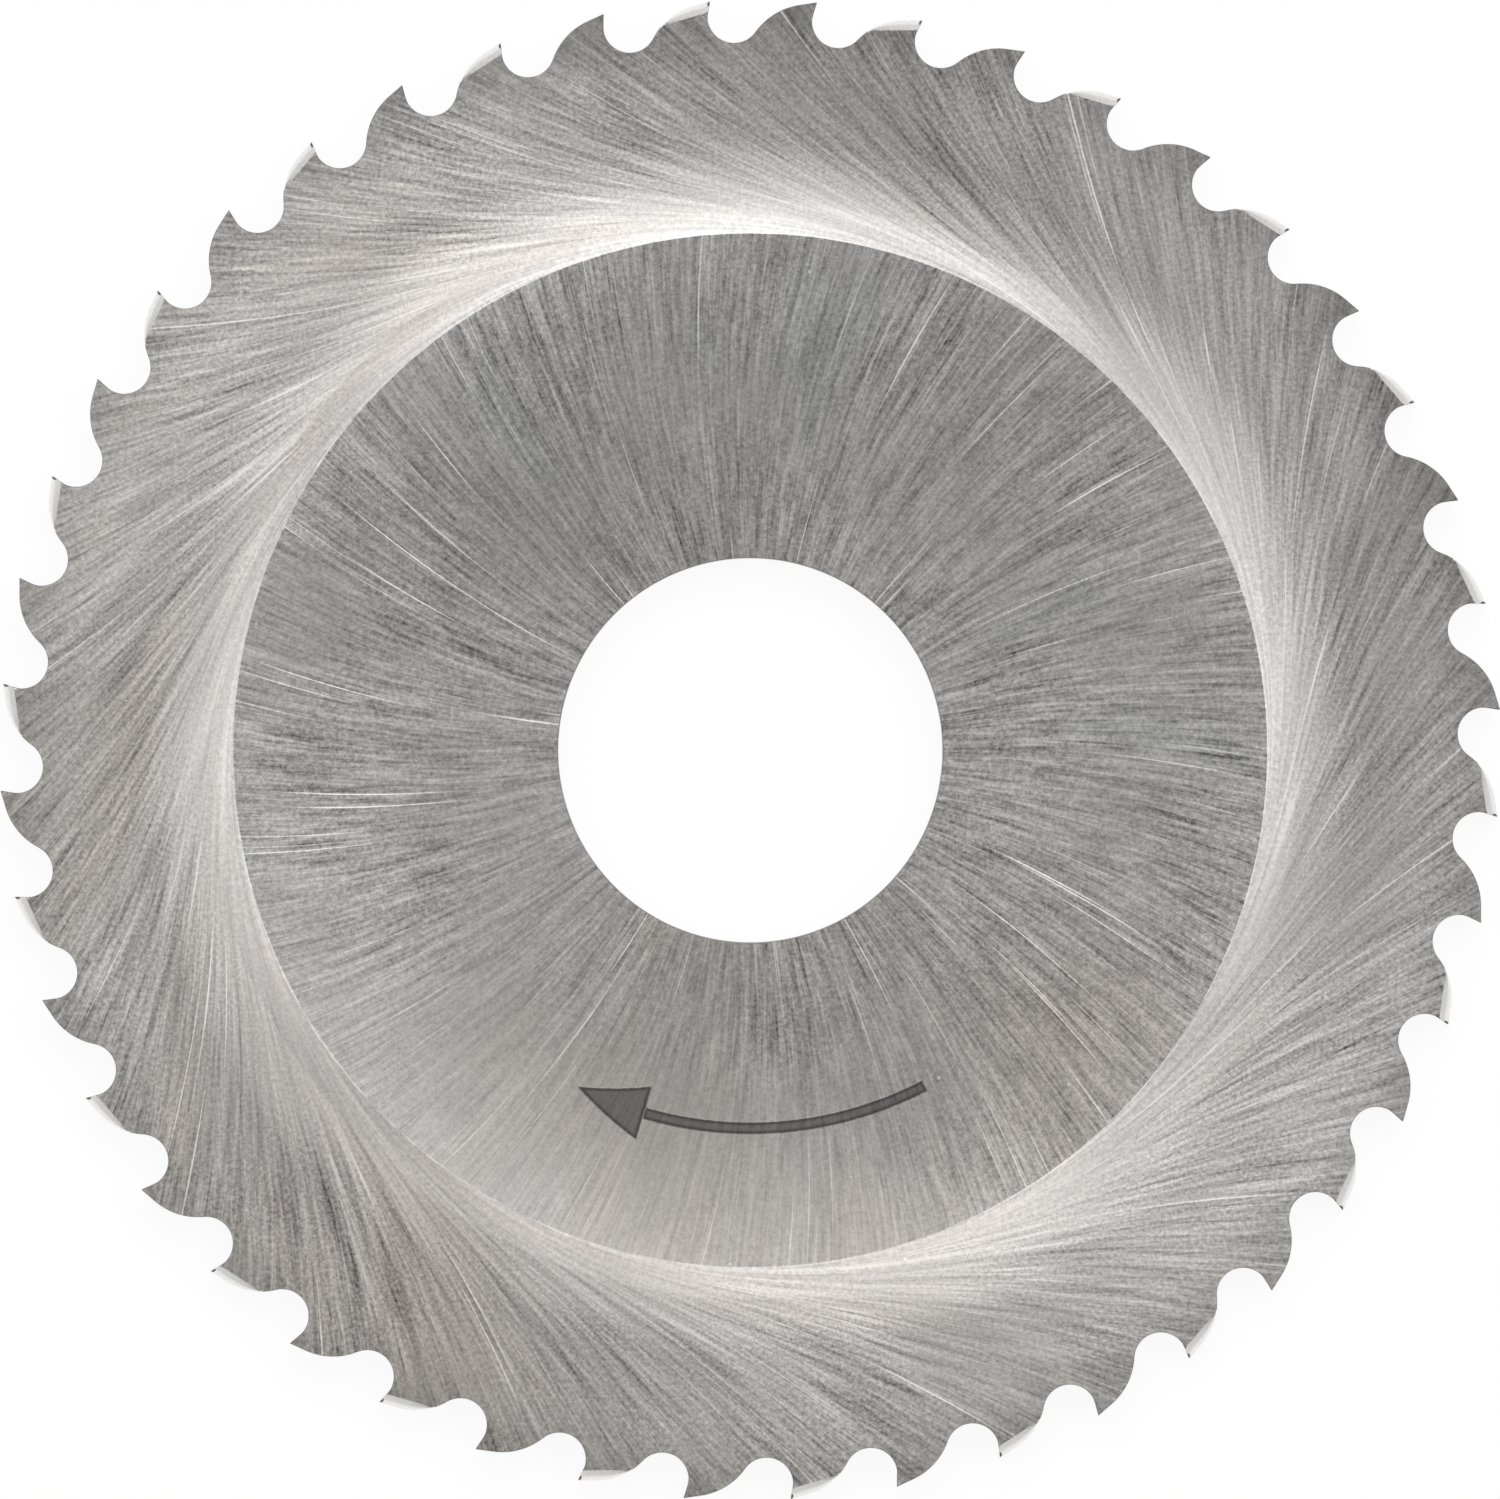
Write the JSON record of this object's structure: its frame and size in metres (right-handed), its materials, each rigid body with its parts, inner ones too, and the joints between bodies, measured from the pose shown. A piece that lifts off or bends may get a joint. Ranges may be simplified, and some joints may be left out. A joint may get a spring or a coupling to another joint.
{
  "type": "slitting saw",
  "caption": "Thin metal-slitting saw: a flat steel disc with a plain bore, a full-thickness hub, hollow-ground flanks and curved teeth bevelled on alternate corners.",
  "frame": {"origin": "centre of the bore on the lower hub face, the face the saw lies on", "axes": "+Z along the bore axis, from the lower to the upper flank; +X through the tip of one tooth; seen from +Z the teeth point clockwise"},
  "size_m": [0.0624, 0.0624, 0.0016],
  "materials": {
    "ground_steel": "ground"
  },
  "bodies": {
    "root": {"saw_blade": "ground_steel"}
  },
  "joints": []
}
